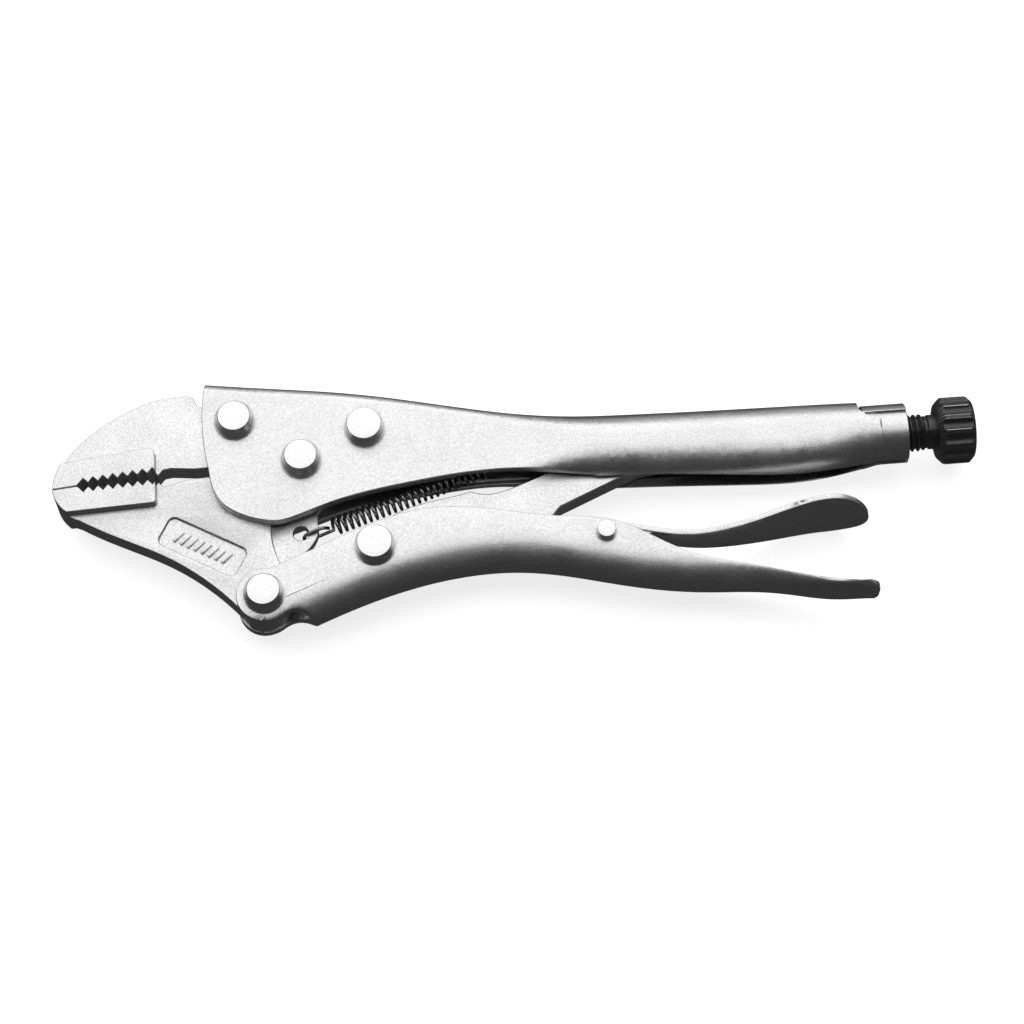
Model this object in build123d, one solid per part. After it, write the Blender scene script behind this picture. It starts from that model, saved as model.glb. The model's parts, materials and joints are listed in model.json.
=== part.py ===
from build123d import *
import math
import os

# Locking pliers, lying on one side.  While modelling, the origin is the jaw pivot, +X runs along the
# adjusting screw towards its knob, +Y runs from the lower handle to the upper one, and Z is the rivet
# direction with the mid-plane at 0.  At the end everything moves to the bottom centre of its own box.

# ---- stock and fits -----------------------------------------------------------------------------
sheet = 2.6                 # handle sheet
lever_sheet = 1.45          # release lever sheet
plate = 6.4                 # forged jaws and link
side_play = 0.15            # each side of a plate between two cheeks
running = 0.05              # radial clearance of a moving piece on its rivet
pass_gap = 0.4              # between pieces that turn past each other
cheek_inner = plate / 2 + side_play
cheek_outer = cheek_inner + sheet
arc_pull = 0.5523           # handle length that makes a cubic curve follow a quarter ellipse

# ---- pivots -------------------------------------------------------------------------------------
jaw_pivot = (0.0, 0.0)
jaw_front_rivet = (-16.8, 12.4)
jaw_rear_rivet = (17.0, 7.6)
handle_pivot = (-11.4, -36.8)
link_pivot = (17.7, -25.8)
lever_pivot = (77.5, -26.5)

# ---- rivets -------------------------------------------------------------------------------------
rivet_shank_r = 3.1
rivet_head_r = 5.15
rivet_head_height = 3.5
wide_crown_r = 4.3
narrow_crown_r = 3.95
small_shank_r = 1.7
small_head_r = 2.75
small_head_height = 2.3
small_crown_r = 2.25

# ---- screw, knob and nut ------------------------------------------------------------------------
screw_axis_y = -2.6
thread_r = 4.9
thread_pitch = 1.5
thread_depth = 0.75
neck_r = 4.55
neck_length = 2.4
thread_showing = 5.6        # thread outside the handle with the jaws set closed
screw_tip_x = 104.6
knob_r = 8.9
knob_length = 9.6
knob_front_chamfer = 1.7
knob_rear_chamfer = 1.4
flute_count = 14
flute_r = 1.8
flute_depth = 0.85
nut_wall = 1.35
nut_length = 11.6
nut_crown_r = 8.1           # raised top of the nut

# ---- upper handle -------------------------------------------------------------------------------
screw_room = 0.5            # between the thread and the inside of the grip
grip_half = thread_r + screw_room + sheet
grip_length = 64.5          # from the end of the flare to the step at the nut
flare_start_x = 44.0        # the flat cheeks end here
flare_end_x = 82.0
collar_wall = 1.3           # the sheet is drawn thin where it wraps the nut
collar_length = 12.5
neck_in = 5.5               # length over which the grip narrows to the collar
neck_steps = 8
collar_opening = 60.0       # degrees each side of the top where the nut shows
mouth_room = 0.9            # each side of the link in the opening under the grip
mouth_wide = plate / 2 + mouth_room
mouth_narrow = 2.3          # half opening at the collar's end
seam_half = 0.35            # half gap of the closed seam under the nut

# ---- jaws ---------------------------------------------------------------------------------------
jaw_tip_x = -65.0
jaw_block_half = 5.75       # the toothed block is thicker than the plate
jaw_block_rear_x = -38.1
boss_r = 9.0                # movable jaw's boss round its pivot
tooth_pitch = 2.57
tooth_depth = 1.45
tooth_count = 9
first_tooth_x = -58.1
ear_half = 1.5
ear_hole = (-1.3, -18.9)
ear_hole_r = 2.0
mark_recess = 0.75          # depth of the recessed panel
boss_wall = 3.3             # least metal round a rivet hole

# ---- lower handle, link and lever ---------------------------------------------------------------
lobe_r = 7.2
lower_end_x = 146.6
lower_end_r = 4.6
tab_half = 6.15             # half width of the flat tab at the end
link_boss_r = 6.3
link_nose_r = 4.2
link_gap = 3.4              # open pivot: link nose to screw tip at rest
lever_half = 3.05
lever_end_x = 146.3
lever_spoon_half = 11.2

# ---- spring -------------------------------------------------------------------------------------
spring_wire_r = 0.45
spring_coil_r = 2.05
spring_pitch = 1.7
spring_start = (7.2, -17.2)
spring_slope = 18.2
spring_coils = 25
hook_r = 2.6                # loop at each end of the spring
hook_stem = 3.0             # from the coil to the loop
spring_lug_half = 1.2
spring_lug_wall = 1.4

handle_end_x = flare_end_x + grip_length
collar_end_x = handle_end_x + collar_length
nut_outer_r = thread_r + 0.1 + nut_wall
collar_r = nut_outer_r + collar_wall
neck_x = collar_end_x + thread_showing
knob_x = neck_x + neck_length
knob_end_x = knob_x + knob_length
knob_seat = 0.6 * knob_length  # depth of the screw's neck in the knob


def smooth(*points, **kwargs):
    """Smooth curve through a few points."""
    return Spline(*points, **kwargs)


def prism(outline, low, high):
    """Solid between two heights from a closed outline in the XY plane."""
    return Pos(0, 0, low) * extrude(make_face(outline), amount=high - low)


def plan_prism(outline, low, high):
    """Solid between two Y levels from a closed outline given as (x, z)."""
    return Rot(-90, 0, 0) * prism(outline, low, high)


def height_at(curve, x):
    """Y of a curve that runs towards +X, at one x."""
    low, high = 0.0, 1.0
    for _ in range(40):
        middle = (low + high) / 2
        if (curve @ middle).X < x:
            low = middle
        else:
            high = middle
    return (curve @ low).Y


def blend(x, start, end, before, after):
    """Value that changes smoothly from one to another between two x."""
    t = min(max((x - start) / (end - start), 0), 1)
    return before + (after - before) * t * t * (3 - 2 * t)


def disc(center, radius, low, high):
    """Upright cylinder between two heights."""
    return Pos(center[0], center[1], (low + high) / 2) * Cylinder(radius, high - low)


def turned(profile_points, center_y):
    """Solid turned about the screw axis from (x, radius) points."""
    points = [(x, center_y + r) for x, r in profile_points]
    outline = Polyline(*points, close=True)
    return revolve(make_face(outline), Axis((0, center_y, 0), (1, 0, 0)))


def spring_point(along):
    """Point on the spring's axis, measured from the coil's first turn."""
    angle = math.radians(spring_slope)
    return spring_start[0] + along * math.cos(angle), spring_start[1] + along * math.sin(angle)


def spring_lug_hole():
    """Centre of the hole in the upper handle's lug."""
    return spring_point(spring_coils * spring_pitch + hook_stem + 2 * hook_r)


def section(x, top, bottom, half, top_r, bottom_r, belly):
    """Section of a handle, square to X: round at the top, half an ellipse of the given depth below."""
    k = 1 - math.sqrt(0.5)
    top_r = min(top_r, half - 0.1)
    bottom_r = min(bottom_r, half - 0.1)
    low_y = bottom + belly
    edge = Line((low_y, -half), (top - top_r, -half))
    edge += ThreePointArc((top - top_r, -half), (top - k * top_r, -half + k * top_r), (top, -half + top_r))
    edge += Line((top, -half + top_r), (top, half - top_r))
    edge += ThreePointArc((top, half - top_r), (top - k * top_r, half - k * top_r), (top - top_r, half))
    edge += Line((top - top_r, half), (low_y, half))
    down = low_y - arc_pull * belly
    out = half - bottom_r + arc_pull * bottom_r
    edge += Bezier((low_y, half), (down, half), (bottom, out), (bottom, half - bottom_r))
    edge += Line((bottom, half - bottom_r), (bottom, -half + bottom_r))
    edge += Bezier((bottom, -half + bottom_r), (bottom, -out), (down, -half), (low_y, -half))
    return Plane(origin=(x, 0, 0), x_dir=(0, 1, 0), z_dir=(1, 0, 0)) * make_face(edge)


def inner_section(station, wall, top_wall, bottom_wall):
    """Inside of a handle's section; its corners are round, so that the plates inside keep their room."""
    x, top, bottom, half, top_r, bottom_r, _ = station
    inner_top_r = max(top_r - wall, 0.8)
    corner_r = max(bottom_r - wall, 0.8)
    return section(x, top - top_wall, bottom + bottom_wall, half - wall, inner_top_r, corner_r, corner_r)


def channel(stations, wall, top_wall, bottom_wall):
    """Lofted outside and inside of a handle."""
    outer = loft([section(*station) for station in stations])
    inner = loft([inner_section(station, wall, top_wall, bottom_wall) for station in stations])
    return outer, inner


def rivet(center, shank_r, head_r, crown_r, head_height):
    """Headed rivet through both cheeks, alike on both sides."""
    x, y = center
    base = cheek_outer
    top = cheek_outer + head_height
    rim = 0.25 * head_height
    shoulder = (crown_r + 0.35 * (head_r - crown_r), base + 0.82 * head_height)
    half_profile = Line((0, 0), (shank_r, 0))
    half_profile += Line((shank_r, 0), (shank_r, base))
    half_profile += Line((shank_r, base), (head_r, base))
    half_profile += Line((head_r, base), (head_r, base + rim))
    half_profile += ThreePointArc((head_r, base + rim), shoulder, (crown_r, top))
    half_profile += Line((crown_r, top), (0, top))
    half_profile += Line((0, top), (0, 0))
    half = revolve(Plane.XZ * make_face(half_profile), Axis.Z)
    return Pos(x, y, 0) * (half + mirror(half, Plane.XY))


def upper_handle():
    """Folded sheet: two flat cheeks at the jaw, a wrapped grip, and a collar round the nut."""
    end = handle_end_x
    top_line = smooth((-30.0, 25.8), (-6.0, 22.2), (14.0, 19.2), (34.0, 14.9), (52.0, 10.9), (67.0, 8.9),
                      (flare_end_x, 8.1), (end - 35.0, 7.3), (end + 2, 6.5))
    bottom_line = smooth(
        (-30.0, -22.0), (14.0, -20.0), (34.0, -15.6), (52.0, -11.6), (67.0, -10.6), (flare_end_x, -11.2),
        (end - 35.0, -12.7), (end - 14.0, -13.1), (end - 6.0, -12.1), (end + 2, -10.4),
    )
    count = round((end + 28.0) / 9.0)
    stations = []
    for i in range(count + 1):
        x = -28.0 + (end + 28.0) * i / count
        half = blend(x, flare_start_x, flare_end_x + 2, cheek_outer, grip_half)
        top_r = blend(x, flare_start_x, flare_end_x, 3.5, grip_half - 0.15)
        bottom_r = blend(x, flare_start_x, flare_end_x, 2.2, 6.6)
        belly = blend(x, flare_start_x, flare_end_x, 2.2, 9.2)
        stations.append((x, height_at(top_line, x), height_at(bottom_line, x), half, top_r, bottom_r, belly))
    outer, inner = channel(stations, sheet, sheet, sheet)
    round_section = (screw_axis_y + collar_r, screw_axis_y - collar_r, collar_r, collar_r, collar_r, collar_r)
    necking = []
    for i in range(neck_steps + 1):
        x = end + neck_in * i / neck_steps
        values = [blend(x, end, end + neck_in, a, b) for a, b in zip(stations[-1][1:], round_section)]
        necking.append(section(x, *values))
    shrink = loft(necking, ruled=True)
    place = Rot(0, 90, 0)
    collar_middle = (end + neck_in + collar_end_x) / 2
    collar = Pos(collar_middle, screw_axis_y, 0) * place * Cylinder(collar_r - 0.01, collar_length - neck_in)
    body = outer + shrink + collar
    body -= inner
    body -= Pos(end + collar_length / 2, screw_axis_y, 0) * place * Cylinder(nut_outer_r, collar_length + 4)
    # cheek outline: bowed front edge, round lower corner, long lower edge that rises to the grip
    front = ThreePointArc((-23.9, 26.0), (-25.4, 14.0), (-24.2, -1.0))
    corner = smooth((-24.2, -1.0), (-20.9, -10.8), (-9.5, -16.5), (5.0, -13.3), tangents=[(0.1, -1), (1, 0.34)])
    lower = smooth((5.0, -13.3), (28.0, -8.6), (52.0, -6.8), (76.0, -9.6), tangents=[(1, 0.34), (1, -0.12)])
    rest = Polyline((76.0, -9.6), (79.0, -30.0), (collar_end_x + 5, -30.0), (collar_end_x + 5, 32.0), (-23.9, 32.0))
    keep = front + corner + lower + rest + Line((-23.9, 32.0), (-23.9, 26.0))
    body &= prism(keep, -20, 20)
    # opening under the grip, wide where the link passes and almost closed at the collar
    mouth = Polyline(
        (40, mouth_wide),
        (96, mouth_wide),
        (end - 7, mouth_narrow),
        (end + 2, seam_half),
        (collar_end_x + 1, seam_half),
        (collar_end_x + 1, -seam_half),
        (end + 2, -seam_half),
        (end - 7, -mouth_narrow),
        (96, -mouth_wide),
        (40, -mouth_wide),
        close=True,
    )
    body -= plan_prism(mouth, -25.0, screw_axis_y - 3.0)
    # the collar is open at the top, where the nut shows
    chord_y = screw_axis_y + collar_r * math.cos(math.radians(collar_opening))
    notch = Pos(end + collar_length, chord_y + 10, 0) * Box(2 * collar_length, 20, 30)
    notch = fillet(notch.edges().filter_by(Axis.Z).sort_by(Axis.X)[0:2], 1.5)
    body -= notch
    body -= disc(jaw_pivot, rivet_shank_r, -12, 12)
    body -= disc(jaw_front_rivet, rivet_shank_r, -12, 12)
    body -= disc(jaw_rear_rivet, rivet_shank_r, -12, 12)
    # lug under the spine that holds the far end of the spring
    hole_x, hole_y = spring_lug_hole()
    left = hole_x - spring_lug_wall - 1.6
    foot = hole_y - 2.6
    lug = Polyline((left, foot), (hole_x + 2.2, foot), (hole_x + 4.0, 10.0), (left - 1.0, 10.0), close=True)
    body += prism(lug, -spring_lug_half, spring_lug_half)
    return body - disc((hole_x, hole_y), 1.6, -3, 3)


def tooth_line(start_x, start_y, slope, inward):
    """Saw-tooth line of the mouth as points, valleys away from the mouth."""
    points = []
    rise = math.tan(math.radians(slope))
    for i in range(tooth_count):
        x = start_x + i * tooth_pitch
        points.append((x, start_y + (x - start_x) * rise))
        mid = x + tooth_pitch / 2
        points.append((mid, start_y + (mid - start_x) * rise + inward * tooth_depth))
    return points


def fixed_jaw():
    """Forged upper jaw with a toothed block and a tang riveted between the cheeks."""
    boss_edge = boss_r + pass_gap
    mouth = tooth_line(first_tooth_x, -2.25, 5.0, 1)
    teeth = Polyline((jaw_tip_x + 0.1, -3.25), (-58.6, -2.65), *mouth, (-34.2, 1.4), (-27.9, 0.75), (-20.0, 1.0))
    left = -math.sqrt(boss_edge**2 - 1.0)
    under = Line((-20.0, 1.0), (left, 1.0))
    right = math.sqrt(boss_edge**2 - 1.4**2)
    over = ThreePointArc((left, 1.0), (0, boss_edge), (right, 1.4))
    right_x = jaw_rear_rivet[0] + rivet_shank_r + boss_wall
    tang = Polyline((right, 1.4), (right_x - 2.0, 1.4), (right_x, 3.4), (right_x, 10.0), (right_x - 3.4, 13.2))
    top = Polyline((right_x - 3.4, 13.2), (-8.0, 18.4), (-25.2, 18.5))
    step = smooth((-25.2, 18.5), (-26.9, 19.6), (-27.6, 21.3), (-28.7, 22.0))
    back = smooth((-28.7, 22.0), (-38.0, 21.3), (-47.3, 17.6), (-56.4, 11.5), (-62.2, 4.9), (jaw_tip_x + 0.1, -3.25))
    body = prism(teeth + under + over + tang + top + step + back, -plate / 2, plate / 2)
    rear = jaw_block_rear_x
    block = Polyline((jaw_tip_x - 1, 3.6), (-61.8, 4.1), (rear - 2.2, 6.75))
    block += ThreePointArc((rear - 2.2, 6.75), (rear - 0.6, 6.3), (rear, 4.8))
    block += Polyline((rear, 4.8), (rear, -12), (jaw_tip_x - 1, -12))
    block += Line((jaw_tip_x - 1, -12), (jaw_tip_x - 1, 3.6))
    edge = teeth + under + over + tang + top + step + back
    thick = prism(edge, -jaw_block_half, jaw_block_half) & prism(block, -10, 10)
    body += thick
    body -= disc(jaw_front_rivet, rivet_shank_r, -12, 12)
    body -= disc(jaw_rear_rivet, rivet_shank_r, -12, 12)
    return body


def movable_jaw():
    """Forged lower jaw: toothed block, boss on the jaw pivot, lobe on the handle pivot, thin spring ear."""
    mouth = tooth_line(first_tooth_x, -3.05, 2.4, -1)
    teeth = Polyline((jaw_tip_x, -3.4), (-58.6, -2.8), *mouth, (-34.2, -3.2), (-30.0, -1.9), (-20.0, -1.9))
    left = -math.sqrt(boss_r**2 - 1.9**2)
    neck = Line((-20.0, -1.9), (left, -1.9))
    boss = ThreePointArc((left, -1.9), (0, boss_r), (boss_r, -0.5))
    ear_side = smooth(
        (boss_r, -0.5), (6.2, -9.0), (3.3, -14.4), (3.3, -18.8), (-0.6, -24.8), (-5.2, -33.0),
        tangents=[(0, -1), (-0.2, -1)],
    )
    lobe_bottom = ThreePointArc((-5.2, -33.0), (-6.9, -41.6), (-15.4, -42.6))
    belly = smooth((-15.4, -42.6), (-22.2, -34.6), (-36.0, -23.7), (-48.0, -17.4), (-58.3, -11.6))
    belly += smooth((-58.3, -11.6), (-62.7, -8.6), (jaw_tip_x, -3.4))
    outline = teeth + neck + boss + ear_side + lobe_bottom + belly
    body = prism(outline, -plate / 2, plate / 2)
    # the corner towards the spring is thinned to an ear on both faces
    thin = smooth((12.0, -15.0), (-8.8, -17.2), (-8.6, -22.0), (-5.6, -30.0))
    thin += Polyline((-5.6, -30.0), (12.0, -30.0), (12.0, -15.0))
    body -= prism(thin, ear_half, plate)
    body -= prism(thin, -plate, -ear_half)
    rear = jaw_block_rear_x
    block = Polyline((jaw_tip_x - 1, -1), (jaw_tip_x - 1, -9.9), (-60.5, -9.9), (rear - 1.1, -9.0))
    block += ThreePointArc((rear - 1.1, -9.0), (rear - 0.3, -8.7), (rear, -8.0))
    block += Polyline((rear, -8.0), (rear, -1), (jaw_tip_x - 1, -1))
    thick = prism(outline, -jaw_block_half, jaw_block_half) & prism(block, -10, 10)
    body += thick
    # recessed panel on the outer face
    panel = extrude(RectangleRounded(22.6, 8.4, 1.8), amount=2)
    body -= Pos(-26.8, -21.2, plate / 2 - mark_recess) * Rot(0, 0, -30.0) * panel
    body -= disc(jaw_pivot, rivet_shank_r + running, -12, 12)
    body -= disc(handle_pivot, rivet_shank_r + running, -12, 12)
    body -= disc(ear_hole, ear_hole_r, -12, 12)
    return body


def lower_handle():
    """Folded sheet channel, open upwards, flattening to a tab at its end."""
    bottom_line = smooth(
        (-26.0, -55.0), (0.0, -44.7), (16.0, -38.8), (32.0, -34.8), (46.0, -33.3), (60.0, -34.2),
        (76.0, -37.9), (95.0, -42.0), (113.0, -43.6), (134.0, -45.6), (lower_end_x + 2, -46.9),
    )
    count = 17
    stations = []
    for i in range(count + 1):
        x = -24.0 + (lower_end_x + 25.0) * i / count
        half = blend(x, 110.0, 130.0, cheek_outer, tab_half)
        bottom_r = blend(x, 114.0, 137.0, cheek_outer - 0.15, 1.2)
        belly = blend(x, 114.0, 137.0, 9.0, 1.2)
        stations.append((x, -8.0, height_at(bottom_line, x), half, 1.5, bottom_r, belly))
    outer, inner = channel(stations, sheet, -4.0, sheet)
    body = outer - inner
    x, y = handle_pivot
    lobe = ThreePointArc((x + 1.6, y + 7.02), (x - lobe_r, y), (x + 4.6, y - 5.55))
    arch = smooth((x + 4.6, y - 5.55), (-3.3, -41.2), (1.2, -43.6))
    under = Polyline((1.2, -43.6), (1.2, -60), (lower_end_x, -60), (lower_end_x, -44.9))
    top = smooth(
        (lower_end_x, -44.9),
        (131.0, -43.2),
        (117.0, -39.0),
        (100.0, -34.3),
        (90.0, -28.9),
        (81.0, -23.8),
        (64.0, -20.8),
        (46.0, -17.2),
        (30.0, -16.4),
        (14.0, -20.4),
        (-2.7, -27.1),
        (x + 1.6, y + 7.02),
    )
    body &= prism(lobe + arch + under + top, -20, 20)
    # the tab ends in two round corners
    length = lower_end_x + 40
    plan = RectangleRounded(length, 2 * tab_half, lower_end_r)
    body &= Rot(-90, 0, 0) * Pos(lower_end_x - length / 2, 0, -80) * extrude(plan, amount=80)
    body -= disc(handle_pivot, rivet_shank_r, -12, 12)
    body -= disc(link_pivot, rivet_shank_r, -12, 12)
    body -= disc(lever_pivot, small_shank_r, -12, 12)
    return body


def toggle_link():
    """Forged link from the lower handle to the screw tip; the nose stays clear of the tip."""
    x, y = link_pivot
    nose_x = screw_tip_x - link_gap - link_nose_r
    nose_y = screw_axis_y - 0.2
    nose_top = (nose_x - 1.2, nose_y + 4.02)
    nose_low = (nose_x + 0.6, nose_y - 4.157)
    boss = ThreePointArc((x + 2.6, y - 5.74), (x - link_boss_r, y), (x + 1.0, y + 6.22))
    top = smooth((x + 1.0, y + 6.22), (27.0, -14.6), (36.0, -12.7), (43.5, -11.2))
    top += smooth((43.5, -11.2), (49.0, -12.3), (55.6, -10.6), (72.0, -4.4), nose_top)
    nose = ThreePointArc(nose_top, (nose_x + link_nose_r, nose_y), nose_low)
    low = Polyline(nose_low, (87.0, -8.7), (66.4, -17.5), (64.3, -19.8), (x + 2.6, y - 5.74))
    body = prism(boss + top + nose + low, -plate / 2, plate / 2)
    return body - disc(link_pivot, rivet_shank_r + running, -12, 12)


def release_lever():
    """Pressed sheet lever: a narrow channel on its rivet, and a tail that widens to a spoon."""
    x, y = lever_pivot
    upper = smooth(
        (63.0, -24.4), (70.0, -22.9), (80.0, -22.7), (88.0, -24.6), (98.0, -27.0), (110.0, -26.9),
        (122.0, -24.8), (131.0, -23.2), (139.0, -22.9), (lever_end_x, -24.6),
    )
    under_points = [
        (lever_end_x, -24.6 - lever_sheet), (139.0, -22.9 - lever_sheet), (131.0, -23.2 - lever_sheet),
        (122.0, -24.9 - lever_sheet), (110.0, -26.9 - lever_sheet), (98.0, -27.0 - lever_sheet),
        (88.0, -24.6 - lever_sheet), (80.0, -22.7 - lever_sheet), (70.0, -22.9 - lever_sheet),
        (63.0, -24.4 - lever_sheet),
    ]
    strip = upper + Line((lever_end_x, -24.6), under_points[0]) + smooth(*under_points)
    strip += Line(under_points[-1], (63.0, -24.4))
    side = smooth(
        (62.0, lever_half), (82.0, lever_half), (98.0, 4.4), (114.0, 7.2), (126.0, 10.1),
        (136.0, lever_spoon_half), tangents=[(1, 0), (1, 0)],
    )
    end = ThreePointArc((136.0, lever_spoon_half), (lever_end_x, 0), (136.0, -lever_spoon_half))
    far = smooth(
        (136.0, -lever_spoon_half), (126.0, -10.1), (114.0, -7.2), (98.0, -4.4), (82.0, -lever_half),
        (62.0, -lever_half), tangents=[(-1, 0), (-1, 0)],
    )
    plan = side + end + far + Line((62.0, -lever_half), (62.0, lever_half))
    body = prism(strip, -15, 15)
    body &= plan_prism(plan, -60, 0)
    wall = smooth((63.0, -24.6), (68.0, -28.0), (x, y - 4.2), (86.0, -28.4), (90.5, -26.0))
    wall += Polyline((90.5, -26.0), (88.0, -25.4), (80.0, -23.6), (70.0, -23.8), (63.0, -24.6))
    walls = prism(wall, -lever_half, lever_half) - prism(wall, -lever_half + lever_sheet, lever_half - lever_sheet)
    body += walls
    return body - disc(lever_pivot, small_shank_r + running, -12, 12)


def adjusting_screw():
    """Threaded screw with a plain neck that carries the knob."""
    turns = int((neck_x - screw_tip_x - 2.0) / thread_pitch)
    root = thread_r - thread_depth
    points = [(screw_tip_x, 0), (screw_tip_x, root), (screw_tip_x + 1.0, root)]
    start = neck_x - turns * thread_pitch
    for i in range(turns):
        x = start + i * thread_pitch
        points += [(x, root), (x + 0.4 * thread_pitch, thread_r), (x + 0.55 * thread_pitch, thread_r)]
    points += [(neck_x, root), (neck_x, neck_r), (knob_x + knob_seat, neck_r), (knob_x + knob_seat, 0)]
    return turned(points, screw_axis_y)


def adjusting_knob():
    """Fluted knob with chamfered rims, seated on the screw's neck."""
    body = turned(
        [
            (knob_x, 0), (knob_x, knob_r - knob_front_chamfer), (knob_x + knob_front_chamfer, knob_r),
            (knob_end_x - knob_rear_chamfer, knob_r), (knob_end_x, knob_r - knob_rear_chamfer), (knob_end_x, 0),
        ],
        screw_axis_y,
    )
    seat_end_x = knob_x + knob_seat + pass_gap
    seat_r = neck_r + running
    seat = [(knob_x - 1, 0), (knob_x - 1, seat_r), (seat_end_x, seat_r), (seat_end_x, 0)]
    body -= turned(seat, screw_axis_y)
    flute = Cylinder(flute_r, 2 * knob_length)
    reach = knob_r - flute_depth + flute_r
    for i in range(flute_count):
        turn = 2 * math.pi * i / flute_count
        place = Pos(knob_x + knob_length / 2, screw_axis_y + reach * math.cos(turn), reach * math.sin(turn))
        body -= place * Rot(0, 90, 0) * flute
    return body


def adjuster_nut():
    """Bush gripped by the collar; its raised top fills the collar's opening."""
    x = collar_end_x - nut_length
    chord_y = screw_axis_y + collar_r * math.cos(math.radians(collar_opening))
    place = Pos(x + nut_length / 2, screw_axis_y, 0) * Rot(0, 90, 0)
    crown = place * Cylinder(nut_crown_r, nut_length)
    crown &= Pos(x + nut_length / 2, chord_y + 10.1, 0) * Box(nut_length, 20, 30)
    body = place * Cylinder(nut_outer_r, nut_length) + crown
    return body - place * Cylinder(thread_r + 0.1, nut_length + 2)


def tension_spring():
    """Close-wound spring as a sleeve of the coil's size, with a stem and a loop at each end."""
    length = spring_coils * spring_pitch
    outer_r = spring_coil_r + spring_wire_r
    inner_r = spring_coil_r - spring_wire_r
    spring = Pos(length / 2, 0, 0) * Rot(0, 90, 0) * (Cylinder(outer_r, length) - Cylinder(inner_r, length + 2))
    for end, direction in ((0.0, -1), (length, 1)):
        lid = Pos(end - direction * spring_wire_r, 0, 0) * Rot(0, 90, 0) * Cylinder(outer_r, 2 * spring_wire_r)
        stem = Pos(end + direction * hook_stem / 2, 0, 0) * Rot(0, 90, 0) * Cylinder(spring_wire_r, hook_stem)
        loop = Pos(end + direction * (hook_stem + hook_r), 0, 0) * Rot(90, 0, 0) * Torus(hook_r, spring_wire_r)
        spring += lid + stem + loop
    return Pos(spring_start[0], spring_start[1], 0) * Rot(0, 0, spring_slope) * spring


def build():
    """All pieces, each under its own name."""
    big = (rivet_shank_r, rivet_head_r)
    return {
        "upper_handle": upper_handle(),
        "fixed_jaw": fixed_jaw(),
        "movable_jaw": movable_jaw(),
        "lower_handle": lower_handle(),
        "toggle_link": toggle_link(),
        "release_lever": release_lever(),
        "adjusting_screw": adjusting_screw(),
        "adjusting_knob": adjusting_knob(),
        "adjuster_nut": adjuster_nut(),
        "tension_spring": tension_spring(),
        "fixed_jaw_front_rivet": rivet(jaw_front_rivet, *big, narrow_crown_r, rivet_head_height),
        "fixed_jaw_rear_rivet": rivet(jaw_rear_rivet, *big, wide_crown_r, rivet_head_height),
        "jaw_pivot_rivet": rivet(jaw_pivot, *big, narrow_crown_r, rivet_head_height),
        "handle_pivot_rivet": rivet(handle_pivot, *big, narrow_crown_r, rivet_head_height),
        "link_pivot_rivet": rivet(link_pivot, *big, wide_crown_r, rivet_head_height),
        "release_lever_rivet": rivet(lever_pivot, small_shank_r, small_head_r, small_crown_r, small_head_height),
    }


parts = build()
box = Compound(children=[part.moved(Location()) for part in parts.values()]).bounding_box()
shift = Pos(-(box.min.X + box.max.X) / 2, -(box.min.Y + box.max.Y) / 2, -box.min.Z)

if __name__ == "__main__":
    os.makedirs("parts", exist_ok=True)
    for name, part in parts.items():
        export_step(shift * part, f"parts/{name}.step")
    print("shift", tuple(shift.position))
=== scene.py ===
"""Locking pliers: finishes, detailed pieces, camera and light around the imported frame."""

import bmesh
import bpy
import json
import logging
import math
from dataclasses import dataclass
from enum import Enum
from mathutils import Matrix, Vector


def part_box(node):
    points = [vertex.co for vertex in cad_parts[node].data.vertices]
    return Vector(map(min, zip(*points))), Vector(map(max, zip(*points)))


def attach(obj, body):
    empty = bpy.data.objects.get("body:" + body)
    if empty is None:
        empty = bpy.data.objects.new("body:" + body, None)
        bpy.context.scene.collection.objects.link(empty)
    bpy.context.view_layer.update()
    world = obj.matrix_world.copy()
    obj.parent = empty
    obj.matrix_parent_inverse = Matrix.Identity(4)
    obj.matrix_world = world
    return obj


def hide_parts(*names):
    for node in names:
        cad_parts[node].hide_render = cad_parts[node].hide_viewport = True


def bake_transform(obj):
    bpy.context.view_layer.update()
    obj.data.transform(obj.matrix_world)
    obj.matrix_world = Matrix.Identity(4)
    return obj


LOG = logging.getLogger("locking_pliers")
MM = 0.001
CHEEK_FACE = 5.95
PLATE_HALF = 3.2
PANEL_DEPTH = 0.75
NOWHERE = 1000.0

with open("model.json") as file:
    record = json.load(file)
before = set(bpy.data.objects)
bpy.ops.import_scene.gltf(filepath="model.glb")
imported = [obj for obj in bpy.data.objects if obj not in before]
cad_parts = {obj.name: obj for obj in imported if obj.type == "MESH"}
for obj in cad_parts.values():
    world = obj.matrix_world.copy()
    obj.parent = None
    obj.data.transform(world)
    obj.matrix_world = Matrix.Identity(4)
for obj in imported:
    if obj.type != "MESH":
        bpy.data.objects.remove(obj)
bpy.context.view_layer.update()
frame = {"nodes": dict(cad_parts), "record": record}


def centre(node: str) -> Vector:
    """Middle of a CAD node's box."""
    low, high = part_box(node)
    return (low + high) / 2


class Slot(Enum):
    """Material slots of the record."""

    SHEET = "satin_steel"
    FORGED = "forged_steel"
    RIVET = "rivet_steel"
    OXIDE = "black_oxide"
    WIRE = "spring_wire"


class Body(Enum):
    """Bodies that pieces ride on."""

    UPPER = "upper_body"
    JAW = "jaw_body"
    LOWER = "lower_body"
    LINK = "link_body"
    RELEASE = "release_body"
    SCREW = "screw_body"
    KNOB = "knob_body"


# ---------------------------------------------------------------- finishes


def socket(group: bpy.types.NodeTree, name: str, way: str, kind: str, value: object = None) -> None:
    """Adds one socket to a node group.

    Args:
        group: The node group.
        name: The socket's name.
        way: INPUT or OUTPUT.
        kind: The socket's type name.
        value: Its default, where it has one.
    """
    made = group.interface.new_socket(name=name, in_out=way, socket_type=kind)
    if value is not None:
        made.default_value = value


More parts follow.
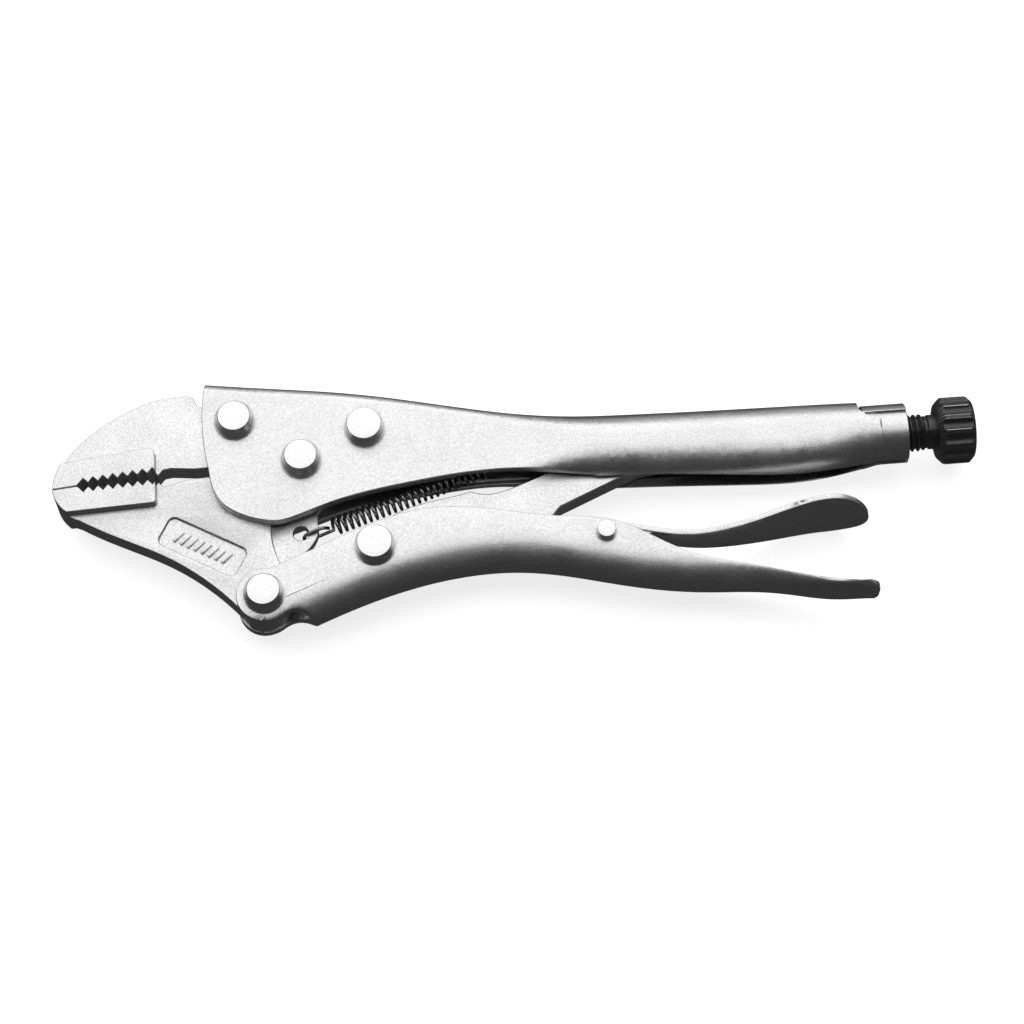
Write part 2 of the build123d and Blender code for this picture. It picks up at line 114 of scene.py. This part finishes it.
def blast_group() -> bpy.types.NodeTree:
    """Builds the shared blasted-metal group.

    Returns:
        A group with a fine pitted height, a speckle mask and a slow cloud mask.
    """
    group = bpy.data.node_groups.new("blast_grain", "ShaderNodeTree")
    socket(group, "Grain Scale", "INPUT", "NodeSocketFloat", 2400.0)
    socket(group, "Cloud Scale", "INPUT", "NodeSocketFloat", 90.0)
    socket(group, "Height", "OUTPUT", "NodeSocketFloat")
    socket(group, "Speckle", "OUTPUT", "NodeSocketFloat")
    socket(group, "Cloud", "OUTPUT", "NodeSocketFloat")
    nodes, links = group.nodes, group.links
    given = nodes.new("NodeGroupInput")
    out = nodes.new("NodeGroupOutput")
    place = nodes.new("ShaderNodeTexCoord")
    fine = nodes.new("ShaderNodeTexNoise")
    fine.inputs["Detail"].default_value = 3.0
    fine.inputs["Roughness"].default_value = 0.65
    pits = nodes.new("ShaderNodeTexVoronoi")
    pits.feature = "SMOOTH_F1"
    cloud = nodes.new("ShaderNodeTexNoise")
    cloud.inputs["Detail"].default_value = 4.0
    links.new(place.outputs["Object"], fine.inputs["Vector"])
    links.new(place.outputs["Object"], pits.inputs["Vector"])
    links.new(place.outputs["Object"], cloud.inputs["Vector"])
    links.new(given.outputs["Grain Scale"], fine.inputs["Scale"])
    links.new(given.outputs["Grain Scale"], pits.inputs["Scale"])
    links.new(given.outputs["Cloud Scale"], cloud.inputs["Scale"])
    mix = nodes.new("ShaderNodeMix")
    mix.inputs["Factor"].default_value = 0.4
    links.new(fine.outputs["Fac"], mix.inputs["A"])
    links.new(pits.outputs["Distance"], mix.inputs["B"])
    links.new(mix.outputs["Result"], out.inputs["Height"])
    spots = nodes.new("ShaderNodeMapRange")
    spots.inputs["From Min"].default_value = 0.36
    spots.inputs["From Max"].default_value = 0.62
    links.new(fine.outputs["Fac"], spots.inputs["Value"])
    links.new(spots.outputs["Result"], out.inputs["Speckle"])
    links.new(cloud.outputs["Fac"], out.inputs["Cloud"])
    return group


@dataclass(frozen=True)
class Metal:
    """A metal finish with grain, cloudiness and a range of roughness."""

    name: str
    dark: tuple[float, float, float]
    light: tuple[float, float, float]
    rough_low: float
    rough_high: float
    grain_scale: float
    bump: float
    bump_depth: float = 0.00006
    cloud_scale: float = 90.0
    metallic: float = 1.0
    coat: float = 0.0

    def build(self, grain: bpy.types.NodeTree) -> bpy.types.Material:
        """Makes the material.

        Args:
            grain: The shared grain group.

        Returns:
            The finished material.
        """
        material = bpy.data.materials.new(self.name)
        material.use_nodes = True
        nodes, links = material.node_tree.nodes, material.node_tree.links
        shader = nodes["Principled BSDF"]
        shader.inputs["Metallic"].default_value = self.metallic
        shader.inputs["Coat Weight"].default_value = self.coat
        group = nodes.new("ShaderNodeGroup")
        group.node_tree = grain
        group.inputs["Grain Scale"].default_value = self.grain_scale
        group.inputs["Cloud Scale"].default_value = self.cloud_scale
        tint = nodes.new("ShaderNodeMix")
        tint.data_type = "RGBA"
        tint.inputs["A"].default_value = (*self.dark, 1.0)
        tint.inputs["B"].default_value = (*self.light, 1.0)
        links.new(group.outputs["Speckle"], tint.inputs["Factor"])
        links.new(tint.outputs["Result"], shader.inputs["Base Color"])
        rough = nodes.new("ShaderNodeMapRange")
        rough.inputs["From Min"].default_value = 0.3
        rough.inputs["From Max"].default_value = 0.7
        rough.inputs["To Min"].default_value = self.rough_low
        rough.inputs["To Max"].default_value = self.rough_high
        links.new(group.outputs["Cloud"], rough.inputs["Value"])
        links.new(rough.outputs["Result"], shader.inputs["Roughness"])
        bump = nodes.new("ShaderNodeBump")
        bump.inputs["Strength"].default_value = self.bump
        bump.inputs["Distance"].default_value = self.bump_depth
        links.new(group.outputs["Height"], bump.inputs["Height"])
        links.new(bump.outputs["Normal"], shader.inputs["Normal"])
        return material


FINISHES: dict[Slot, Metal] = {
    Slot.SHEET: Metal("satin_sheet", (0.60, 0.60, 0.60), (0.80, 0.80, 0.80), 0.30, 0.40, 2300.0, 0.55),
    Slot.FORGED: Metal("satin_forging", (0.58, 0.58, 0.58), (0.80, 0.80, 0.80), 0.30, 0.44, 2000.0, 0.60),
    Slot.RIVET: Metal("rivet_plate", (0.72, 0.72, 0.72), (0.82, 0.82, 0.82), 0.20, 0.30, 1500.0, 0.20),
    Slot.OXIDE: Metal(
        "black_oxide", (0.035, 0.034, 0.036), (0.075, 0.073, 0.075), 0.26, 0.42, 1800.0, 0.35,
        metallic=0.6, coat=0.15,
    ),
    Slot.WIRE: Metal("spring_wire", (0.20, 0.20, 0.21), (0.34, 0.34, 0.35), 0.25, 0.38, 1500.0, 0.15),
}
# Brighter steel for the knob's rib edges: a painted highlight that stands in for the glints there.
PAINTED_RIB_GLINT = Metal("painted_rib_glint", (0.30, 0.30, 0.30), (0.60, 0.60, 0.60), 0.20, 0.35, 1500.0, 0.20)


class Paint:
    """Builds each finish once and hands it out."""

    def __init__(self) -> None:
        """Builds the shared group and every finish."""
        grain = blast_group()
        self.made = {slot: metal.build(grain) for slot, metal in FINISHES.items()}
        self.painted_glint = PAINTED_RIB_GLINT.build(grain)

    def dress(self, obj: bpy.types.Object, slot: Slot) -> None:
        """Gives an object one finish.

        Args:
            obj: The object.
            slot: The record's slot of that finish.
        """
        obj.data.materials.clear()
        obj.data.materials.append(self.made[slot])


# ---------------------------------------------------------------- mesh helpers

PIVOT = centre("jaw_pivot_rivet")
Ring = list[Vector]


def at(x: float, y: float, z: float = 0.0) -> Vector:
    """Point measured in millimetres from the jaw pivot at mid-plane.

    Args:
        x: Along the adjusting screw towards the knob.
        y: From the lower handle to the upper one.
        z: Along the rivets.

    Returns:
        The point in the row frame, in metres.
    """
    return PIVOT + Vector((x, y, z)) * MM


def finish_mesh(name: str, bm: bmesh.types.BMesh, sharp: float = 35.0) -> bpy.types.Object:
    """Turns a bmesh into a smooth-shaded object with sharp edges kept.

    Args:
        name: The object's name.
        bm: The geometry, which is freed.
        sharp: Degrees above which an edge stays sharp.

    Returns:
        The new object, linked to the scene.
    """
    bmesh.ops.recalc_face_normals(bm, faces=bm.faces)
    mesh = bpy.data.meshes.new(name)
    bm.to_mesh(mesh)
    bm.free()
    mesh.shade_smooth()
    mesh.set_sharp_from_angle(angle=math.radians(sharp))
    obj = bpy.data.objects.new(name, mesh)
    bpy.context.scene.collection.objects.link(obj)
    return obj


def skin(bm: bmesh.types.BMesh, rings: list[Ring], caps: bool = True) -> None:
    """Joins closed rings of equal size into a tube.

    Args:
        bm: Where the tube is added.
        rings: The rings in order.
        caps: Whether both ends are closed.
    """
    rows = [[bm.verts.new(point) for point in ring] for ring in rings]
    count = len(rows[0])
    for low, high in zip(rows, rows[1:]):
        for i in range(count):
            j = (i + 1) % count
            bm.faces.new((low[i], low[j], high[j], high[i]))
    if caps:
        bm.faces.new(rows[0])
        bm.faces.new(rows[-1])


def tube(bm: bmesh.types.BMesh, path: list[Vector], radius: float, sides: int = 10) -> None:
    """Adds a round wire along a path, with a frame carried from point to point.

    Args:
        bm: Where the wire is added.
        path: Points along the wire.
        radius: The wire's radius.
        sides: Points round the wire.
    """
    rings = []
    side = (path[1] - path[0]).orthogonal().normalized()
    for i, point in enumerate(path):
        ahead = (path[min(i + 1, len(path) - 1)] - path[max(i - 1, 0)]).normalized()
        side = (side - ahead * side.dot(ahead)).normalized()
        other = ahead.cross(side)
        ring = []
        for k in range(sides):
            turn = 2 * math.pi * k / sides
            ring.append(point + (side * math.cos(turn) + other * math.sin(turn)) * radius)
        rings.append(ring)
    skin(bm, rings)


@dataclass
class Piece:
    """One finished object and where it belongs."""

    obj: bpy.types.Object
    body: Body
    slot: Slot
    nodes: tuple[str, ...]

    def settle(self, paint: Paint) -> None:
        """Dresses the object, rides it on its body and hides the CAD nodes it stands for.

        Args:
            paint: The finishes.
        """
        paint.dress(self.obj, self.slot)
        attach(self.obj, self.body.value)
        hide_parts(*self.nodes)


# ---------------------------------------------------------------- sheet and forgings


@dataclass
class SoftPart:
    """Copy of a CAD piece with its edges rounded.

    Attributes:
        node: The CAD node.
        body: The body it rides on.
        slot: Its material slot.
        edge: Width of the rounding, in metres.
        segments: Steps round each edge.
        limit: Degrees above which an edge is rounded.
        merge: Distance within which vertices are one, in metres.
        flat: Degrees below which neighbouring faces are joined.
        stitch: Longest edge left inside a flat area, in metres.
        until: Edges are rounded up to here along the screw, in millimetres from the jaw pivot.
        again: Edges are rounded again from here on.
    """

    node: str
    body: Body
    slot: Slot
    edge: float
    segments: int = 3
    limit: float = 38.0
    merge: float = 0.000002
    flat: float = 0.4
    stitch: float = 0.0012
    until: float = NOWHERE
    again: float = NOWHERE

    def copy_mesh(self) -> bmesh.types.BMesh:
        """Copies the CAD mesh, merged, with flat areas joined and the edges left in them cut short.

        Returns:
            The copy in the row frame.
        """
        source = frame["nodes"][self.node]
        bm = bmesh.new()
        bm.from_mesh(source.data)
        bm.transform(source.matrix_world)
        bmesh.ops.remove_doubles(bm, verts=bm.verts, dist=self.merge)
        bmesh.ops.dissolve_limit(bm, angle_limit=math.radians(self.flat), verts=bm.verts, edges=bm.edges)
        for edge in list(bm.edges):
            cuts = int(edge.calc_length() / self.stitch) - 1
            if cuts > 0 and edge.calc_face_angle(1.0) < math.radians(self.flat):
                bmesh.ops.subdivide_edges(bm, edges=[edge], cuts=cuts)
        return bm

    def build(self, paint: Paint) -> bpy.types.Object:
        """Makes the rounded copy and settles it.

        Args:
            paint: The finishes.

        Returns:
            The object.
        """
        bm = self.copy_mesh()
        self.mark_corners(bm)
        everywhere = self.until == NOWHERE
        obj = finish_mesh(self.node + "_soft", bm, sharp=60.0 if everywhere else 35.0)
        soften = obj.modifiers.new("edges", "BEVEL")
        soften.width = self.edge
        soften.segments = self.segments
        soften.limit_method = "WEIGHT"
        soften.use_clamp_overlap = False
        soften.harden_normals = everywhere
        if not everywhere:
            even = obj.modifiers.new("normals", "WEIGHTED_NORMAL")
            even.keep_sharp = True
        Piece(obj, self.body, self.slot, (self.node,)).settle(paint)
        return obj

    def mark_corners(self, bm: bmesh.types.BMesh) -> None:
        """Gives a bevel weight to each corner edge that is to be rounded.

        Args:
            bm: The copy.
        """
        weights = bm.edges.layers.float.new("bevel_weight_edge")
        until = PIVOT.x + self.until * MM
        again = PIVOT.x + self.again * MM
        for edge in bm.edges:
            corner = edge.calc_face_angle(0.0) > math.radians(self.limit)
            low, high = sorted(vert.co.x for vert in edge.verts)
            if corner and (high < until or low > again):
                edge[weights] = 1.0


@dataclass
class PanelMarks:
    """Row of raised slanted bars in the lower jaw's recessed panel."""

    middle: tuple[float, float] = (-26.8, -21.2)
    turn: float = math.radians(-30.0)
    count: int = 8
    spacing: float = 2.0
    bar: tuple[float, float, float] = (0.95, 3.6, 1.2)
    lean: float = math.radians(-18.0)
    soft: float = 0.12

    def build(self, paint: Paint) -> bpy.types.Object:
        """Builds the bars.

        Args:
            paint: The finishes.

        Returns:
            The object.
        """
        bm = bmesh.new()
        floor = PLATE_HALF - PANEL_DEPTH
        for i in range(self.count):
            along = (i - (self.count - 1) / 2) * self.spacing
            made = bmesh.ops.create_cube(bm, size=1.0)["verts"]
            lean = Matrix.Rotation(self.lean, 4, "Z")
            size = Matrix.Diagonal((*(v * MM for v in self.bar), 1.0))
            spot = Matrix.Translation((along * MM, 0.0, 0.0))
            spin = Matrix.Rotation(self.turn, 4, "Z")
            base = Matrix.Translation(at(self.middle[0], self.middle[1], floor))
            bmesh.ops.transform(bm, matrix=base @ spin @ spot @ lean @ size, verts=made)
        bmesh.ops.bevel(bm, geom=bm.edges[:], offset=self.soft * MM, segments=2, profile=0.5, affect="EDGES")
        obj = finish_mesh("panel_bars", bm)
        Piece(obj, Body.JAW, Slot.FORGED, ()).settle(paint)
        return obj


# ---------------------------------------------------------------- rivets


@dataclass
class Rivet:
    """Headed rivet with a tapered crown on both sides."""

    node: str
    body: Body
    head: float
    crown: float
    height: float
    shank: float
    lip_share: float = 0.08
    slope_share: float = 0.72
    steps: int = 72

    def profile(self) -> list[tuple[float, float]]:
        """Outline of the upper half.

        Returns:
            Points of radius and height above mid-plane, in millimetres.
        """
        base = CHEEK_FACE
        top = base + self.height
        lip = self.lip_share * self.height * 1.6
        slope = (self.head - self.crown) * self.slope_share
        points = [(self.shank, 0.0), (self.shank, base), (self.head - 0.1, base), (self.head, base + 0.15)]
        points.append((self.head, base + 0.12 * self.height))
        points.append((self.head - 0.35 * slope, base + 0.55 * self.height))
        edge = self.head - slope
        points.append((edge, top - lip))
        for i in range(1, 6):
            turn = math.radians(18.0 * i)
            inward = (edge - self.crown) * (1.0 - math.cos(turn))
            points.append((edge - inward, top - lip * (1.0 - math.sin(turn))))
        points.append((self.crown * 0.5, top))
        points.append((0.0, top))
        return points

    def build(self, paint: Paint) -> bpy.types.Object:
        """Spins the outline and its mirror image.

        Args:
            paint: The finishes.

        Returns:
            The object.
        """
        middle = centre(self.node)
        half = self.profile()
        outline = [(r, -h) for r, h in reversed(half)] + half[1:]
        bm = bmesh.new()
        rows = [bm.verts.new(middle + Vector((r, 0.0, h)) * MM) for r, h in outline]
        edges = [bm.edges.new(pair) for pair in zip(rows, rows[1:])]
        bmesh.ops.spin(bm, geom=rows + edges, cent=middle, axis=(0, 0, 1), dvec=(0, 0, 0),
                       angle=2 * math.pi, steps=self.steps, use_merge=True)
        bmesh.ops.remove_doubles(bm, verts=bm.verts, dist=1e-7)
        obj = finish_mesh(self.node + "_head", bm, sharp=50.0)
        Piece(obj, self.body, Slot.RIVET, (self.node,)).settle(paint)
        return obj


# ---------------------------------------------------------------- adjuster


@dataclass
class Adjuster:
    """Threaded screw and fluted knob on the screw's axis."""

    axis_y: float = -2.6
    tip_x: float = 104.6
    neck_x: float = 164.6
    knob_x: float = 167.0
    knob_end_x: float = 176.6
    thread_r: float = 4.9
    thread_depth: float = 0.75
    pitch: float = 1.5
    neck_r: float = 4.55
    knob_r: float = 8.9
    flutes: int = 14
    flute_r: float = 1.8
    flute_depth: float = 0.85
    front_chamfer: float = 1.7
    rear_chamfer: float = 1.4
    recess_depth: float = 5.5
    rib_ease: float = 0.10
    sides: int = 48

    def point(self, x: float, radius: float, turn: float) -> Vector:
        """Point round the screw's axis.

        Args:
            x: Along the axis from the jaw pivot, millimetres.
            radius: From the axis, millimetres.
            turn: Angle about the axis.

        Returns:
            The point in the row frame.
        """
        return at(x, self.axis_y + radius * math.cos(turn), radius * math.sin(turn))

    def thread_height(self, phase: float) -> float:
        """Radius of the thread at one phase of its pitch.

        Args:
            phase: From 0 to 1 along one pitch.

        Returns:
            The radius in millimetres.
        """
        root_from, flank = 0.92, 0.72
        away = abs(phase - 0.5) * 2
        rise = min(max((root_from - away) / flank, 0.0), 1.0)
        return self.thread_r - self.thread_depth * (1.0 - rise)

    def ring(self, x: float, radius: float) -> Ring:
        """Plain ring round the screw's axis.

        Args:
            x: Along the axis, millimetres.
            radius: Its radius, millimetres.

        Returns:
            The ring's points.
        """
        return [self.point(x, radius, 2 * math.pi * k / self.sides) for k in range(self.sides)]

    def threaded(self, x: float, root: float) -> Ring:
        """Ring through the thread, which runs out at both ends.

        Args:
            x: Along the axis, millimetres.
            root: Radius at the thread's root.

        Returns:
            The ring's points.
        """
        fade = max(min(1.0, (self.neck_x - x) / self.pitch, (x - self.tip_x) / self.pitch), 0.0)
        points = []
        for k in range(self.sides):
            height = self.thread_height((x / self.pitch - k / self.sides) % 1.0)
            points.append(self.point(x, root + (height - root) * fade, 2 * math.pi * k / self.sides))
        return points

    def screw(self, paint: Paint) -> bpy.types.Object:
        """Builds the screw with a right-hand helical thread and a plain neck.

        Args:
            paint: The finishes.

        Returns:
            The object.
        """
        root = self.thread_r - self.thread_depth
        lead = 1.0
        rings = [self.ring(self.tip_x, root * (0.85 + 0.15 * 0.55)), self.ring(self.tip_x + lead / 2, root)]
        step = self.pitch / 12
        steps = int((self.neck_x - self.tip_x - lead) / step)
        rings += [self.threaded(self.tip_x + lead + i * step, root) for i in range(steps + 1)]
        seat = self.knob_x + 0.6 * (self.knob_end_x - self.knob_x)
        neck = ((self.neck_x + 0.02, root), (self.neck_x + 0.25, self.neck_r), (seat, self.neck_r))
        rings += [self.ring(x, radius) for x, radius in neck]
        bm = bmesh.new()
        skin(bm, rings)
        obj = finish_mesh("adjusting_screw_thread", bm, sharp=32.0)
        Piece(obj, Body.SCREW, Slot.OXIDE, ("adjusting_screw",)).settle(paint)
        return obj

    def rim(self, x: float) -> float:
        """Radius of the knob between its two chamfers.

        Args:
            x: Along the axis, millimetres.

        Returns:
            The radius in millimetres.
        """
        front = self.knob_r - max(0.0, self.front_chamfer - (x - self.knob_x))
        rear = self.knob_r - max(0.0, self.rear_chamfer - (self.knob_end_x - x))
        return min(front, rear, self.knob_r)

    def fluted(self, rim: float, turn: float) -> float:
        """Radius of the fluted outline, with the ribs' edges eased.

        Args:
            rim: Radius without flutes.
            turn: Angle about the axis.

        Returns:
            The radius in millimetres.
        """
        reach = self.knob_r - self.flute_depth + self.flute_r
        slot = 2 * math.pi / self.flutes
        off = (turn + slot / 2) % slot - slot / 2
        across = reach * math.sin(off)
        if abs(across) >= self.flute_r:
            return rim
        cut = reach * math.cos(off) - math.sqrt(self.flute_r**2 - across**2)
        gap = (rim - cut) / self.rib_ease
        if gap > 1.0:
            return cut
        if gap < -1.0:
            return rim
        return min(rim, cut) - 0.25 * self.rib_ease * (1.0 - abs(gap)) ** 2

    def knob(self, paint: Paint) -> bpy.types.Object:
        """Builds the fluted knob with a bore for the neck and painted glints on its rib edges.

        Args:
            paint: The finishes.

        Returns:
            The object.
        """
        sides = self.flutes * 28
        start, end = self.knob_x, self.knob_end_x
        inner = self.neck_r + 0.05
        rows: list[tuple[float, float, bool]] = [
            (start + self.recess_depth, inner, False),
            (start + 0.25, inner, False),
            (start, inner + 0.25, False),
            (start, 6.6, False),
        ]
        for x in (0.0, 0.12, 0.5, 1.1, 1.6, 1.8, 2.4, 4.8, 7.4, 8.1, 8.3, 8.8, 9.3, 9.5, 9.6):
            rows.append((start + x, self.rim(start + x) - (0.06 if x in (0.0, 9.6) else 0.0), True))
        rows += [(end, 6.9, False), (end, 2.0, False)]
        rings = []
        for x, radius, cut in rows:
            ring = []
            for k in range(sides):
                turn = 2 * math.pi * k / sides
                ring.append(self.point(x, self.fluted(radius, turn) if cut else radius, turn))
            rings.append(ring)
        bm = bmesh.new()
        skin(bm, rings)
        obj = finish_mesh("adjusting_knob_fluted", bm, sharp=30.0)
        Piece(obj, Body.KNOB, Slot.OXIDE, ("adjusting_knob",)).settle(paint)
        # Painted highlight: the faces on the rib edges get the brighter glint steel.
        obj.data.materials.append(paint.painted_glint)
        middle = self.point(start, 0.0, 0.0)
        for face in obj.data.polygons:
            spot = face.center - middle
            if 0.3 * MM < spot.x < 9.4 * MM and self.is_rib_edge(math.atan2(spot.z, spot.y)):
                face.material_index = 1
        return obj

    def is_rib_edge(self, turn: float) -> bool:
        """Whether an angle lies on the edge of a rib, where the glint is painted.

        Args:
            turn: Angle about the axis.

        Returns:
            True on the narrow edge.
        """
        reach = self.knob_r - self.flute_depth + self.flute_r
        slot = 2 * math.pi / self.flutes
        off = abs((turn + slot / 2) % slot - slot / 2)
        meet = math.acos((reach**2 + self.knob_r**2 - self.flute_r**2) / (2 * reach * self.knob_r))
        return abs(off - meet) < slot / 50

    def build(self, paint: Paint) -> None:
        """Builds the screw and the knob.

        Args:
            paint: The finishes.
        """
        self.screw(paint)
        self.knob(paint)


# ---------------------------------------------------------------- spring


@dataclass
class TensionSpring:
    """Coil between the lower jaw's ear and the upper handle, with a loop at each end."""

    start: tuple[float, float] = (7.2, -17.2)
    slope: float = math.radians(18.2)
    wire: float = 0.45
    radius: float = 2.05
    pitch: float = 1.7
    coils: int = 25
    loop: float = 2.6
    stem: float = 3.0
    per_turn: int = 20

    def place(self, along: float, up: float, side: float) -> Vector:
        """Point in the spring's own frame.

        Args:
            along: Along its axis, millimetres.
            up: Across its axis in the tool's plane.
            side: Across its axis along the rivets.

        Returns:
            The point in the row frame.
        """
        x = self.start[0] + along * math.cos(self.slope) - up * math.sin(self.slope)
        y = self.start[1] + along * math.sin(self.slope) + up * math.cos(self.slope)
        return at(x, y, side)

    def coil_path(self) -> list[Vector]:
        """Path of the wire through the coil, from one side of the axis to the same side.

        Returns:
            The points.
        """
        path = []
        for i in range(self.coils * self.per_turn + 1):
            turn = 2 * math.pi * i / self.per_turn - math.pi / 2
            across = self.radius * math.cos(turn)
            path.append(self.place(i / self.per_turn * self.pitch, across, self.radius * math.sin(turn)))
        return path

    def loop_path(self, end: float, way: int) -> list[Vector]:
        """Path of one long hook, in the plane of the axis and the rivets.

        Args:
            end: Where the coil ends along the axis.
            way: -1 at the jaw, 1 at the handle.

        Returns:
            The points, from the coil outwards.
        """
        reach = self.stem + 2 * self.loop
        half = reach / 2
        wide = self.radius + 0.3
        path = [self.place(end + way * half * i / 5, 0.0, -self.radius - 0.3 * i / 5) for i in range(1, 5)]
        for i in range(0, 21):
            turn = math.pi * i / 20
            out = half + half * math.sin(turn) ** 0.6
            path.append(self.place(end + way * out, 0.0, -wide * math.cos(turn)))
        path += [self.place(end + way * (half - 0.7 * i), 0.0, wide - 0.12 * i * i) for i in range(1, 5)]
        return path

    def build(self, paint: Paint) -> bpy.types.Object:
        """Builds the spring between the jaw and the handle.

        Args:
            paint: The finishes.

        Returns:
            The object.
        """
        length = self.coils * self.pitch
        path = list(reversed(self.loop_path(0.0, -1))) + self.coil_path() + self.loop_path(length, 1)
        bm = bmesh.new()
        tube(bm, path, self.wire * MM)
        obj = finish_mesh("tension_spring_coil", bm)
        paint.dress(obj, Slot.WIRE)
        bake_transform(obj)
        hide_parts("tension_spring")
        return obj


# ---------------------------------------------------------------- scene


@dataclass
class Studio:
    """Camera, floor and soft light."""

    lens: float = 103.0
    distance: float = 0.7643
    tilt: float = math.radians(23.0)
    roll: float = math.radians(4.585)
    view_centre: tuple[float, float] = (0.0550, -0.0123)
    floor_half: float = 6.0
    floor_drop: float = 0.0005
    dim: float = 0.045
    pale: float = 0.42

    def camera(self) -> None:
        """Places the camera over the tool, looking down from the lower handle's side."""
        turn = Matrix.Rotation(-self.roll, 3, "Z")
        target = PIVOT + turn @ Vector((*self.view_centre, 0.0))
        back = turn @ Vector((0.0, -math.sin(self.tilt), math.cos(self.tilt)))
        side = turn @ Vector((1.0, 0.0, 0.0))
        up = back.cross(side)
        data = bpy.data.cameras.new("camera")
        data.lens = self.lens
        data.sensor_width = 36.0
        data.clip_start = 0.05
        data.clip_end = 20.0
        camera = bpy.data.objects.new("camera", data)
        place = Matrix((side, up, back)).transposed().to_4x4()
        place.translation = target + back * self.distance
        camera.matrix_world = place
        bpy.context.scene.collection.objects.link(camera)
        bpy.context.scene.camera = camera

    def floor(self) -> None:
        """Lays a pale floor under the tool."""
        mesh = bpy.data.meshes.new("floor")
        bm = bmesh.new()
        bmesh.ops.create_grid(bm, x_segments=1, y_segments=1, size=self.floor_half)
        bm.to_mesh(mesh)
        bm.free()
        floor = bpy.data.objects.new("floor", mesh)
        floor.location.z = -self.floor_drop
        bpy.context.scene.collection.objects.link(floor)
        floor.visible_glossy = False
        material = bpy.data.materials.new("floor_paper")
        material.use_nodes = True
        shader = material.node_tree.nodes["Principled BSDF"]
        shader.inputs["Base Color"].default_value = (0.82, 0.82, 0.82, 1.0)
        shader.inputs["Roughness"].default_value = 0.9
        shader.inputs["Emission Color"].default_value = (1.0, 1.0, 1.0, 1.0)
        shader.inputs["Emission Strength"].default_value = 0.79
        mesh.materials.append(material)

    def lamp(
        self,
        name: str,
        spot: tuple[float, float, float],
        size: tuple[float, float],
        power: float,
    ) -> None:
        """Hangs one soft light that faces the floor.

        Args:
            name: The light's name.
            spot: Its place in metres.
            size: Width and height of the light.
            power: Its power in watts.
        """
        data = bpy.data.lights.new(name, "AREA")
        data.shape = "RECTANGLE"
        data.size, data.size_y = size
        data.energy = power
        lamp = bpy.data.objects.new(name, data)
        lamp.location = spot
        bpy.context.scene.collection.objects.link(lamp)

    def world(self) -> None:
        """Sets a dim surround that is paler behind the tool than in front of it."""
        world = bpy.data.worlds.new("surround")
        world.use_nodes = True
        nodes, links = world.node_tree.nodes, world.node_tree.links
        sky = nodes["Background"]
        place = nodes.new("ShaderNodeTexCoord")
        split = nodes.new("ShaderNodeSeparateXYZ")
        shade = nodes.new("ShaderNodeMapRange")
        shade.interpolation_type = "SMOOTHSTEP"
        shade.inputs["From Min"].default_value = 0.0
        shade.inputs["From Max"].default_value = 0.7
        shade.inputs["To Min"].default_value = self.dim
        shade.inputs["To Max"].default_value = self.pale
        rise = nodes.new("ShaderNodeMapRange")
        rise.interpolation_type = "SMOOTHSTEP"
        rise.inputs["From Min"].default_value = -0.45
        rise.inputs["From Max"].default_value = 0.1
        both = nodes.new("ShaderNodeMath")
        both.operation = "MULTIPLY"
        least = nodes.new("ShaderNodeMath")
        least.operation = "MAXIMUM"
        least.inputs[1].default_value = self.dim
        links.new(place.outputs["Generated"], split.inputs["Vector"])
        links.new(split.outputs["Y"], shade.inputs["Value"])
        links.new(split.outputs["Z"], rise.inputs["Value"])
        links.new(shade.outputs["Result"], both.inputs[0])
        links.new(rise.outputs["Result"], both.inputs[1])
        links.new(both.outputs["Value"], least.inputs[0])
        links.new(least.outputs["Value"], sky.inputs["Color"])
        bpy.context.scene.world = world

    def build(self) -> None:
        """Builds the whole studio."""
        self.camera()
        self.floor()
        self.world()
        self.lamp("softbox", (0.0, 1.12, 0.95), (2.2, 2.5), 18.4)
        bpy.context.scene.view_settings.view_transform = "Standard"


def main() -> None:
    """Builds the scene in order."""
    logging.basicConfig(level=logging.INFO)
    paint = Paint()
    slots = {row["node"]: Slot(row["material_slot"]) for row in frame["record"]["subparts"]}
    for name, obj in frame["nodes"].items():
        paint.dress(obj, slots[name])
    soft = [
        SoftPart("upper_handle", Body.UPPER, Slot.SHEET, 0.00025, flat=0.05, until=139.0, again=155.0),
        SoftPart("lower_handle", Body.LOWER, Slot.SHEET, 0.00025, merge=0.00006, flat=0.05),
        SoftPart("release_lever", Body.RELEASE, Slot.SHEET, 0.0002, merge=0.00012, flat=0.05),
        SoftPart("toggle_link", Body.LINK, Slot.FORGED, 0.00045),
        SoftPart("adjuster_nut", Body.UPPER, Slot.SHEET, 0.0003),
        SoftPart("fixed_jaw", Body.UPPER, Slot.FORGED, 0.0003),
        SoftPart("movable_jaw", Body.JAW, Slot.FORGED, 0.0003),
    ]
    for part in soft:
        part.build(paint)
        LOG.info("%s done", part.node)
    PanelMarks().build(paint)
    for node, body, crown in (
        ("fixed_jaw_front_rivet", Body.UPPER, 3.95),
        ("fixed_jaw_rear_rivet", Body.UPPER, 4.3),
        ("jaw_pivot_rivet", Body.UPPER, 3.95),
        ("handle_pivot_rivet", Body.LOWER, 3.95),
        ("link_pivot_rivet", Body.LOWER, 4.3),
    ):
        Rivet(node, body, 5.42, crown, 3.6, 3.1).build(paint)
    Rivet("release_lever_rivet", Body.LOWER, 2.75, 2.25, 2.3, 1.7).build(paint)
    Adjuster().build(paint)
    TensionSpring().build(paint)
    Studio().build()


if __name__ == "__main__":
    main()
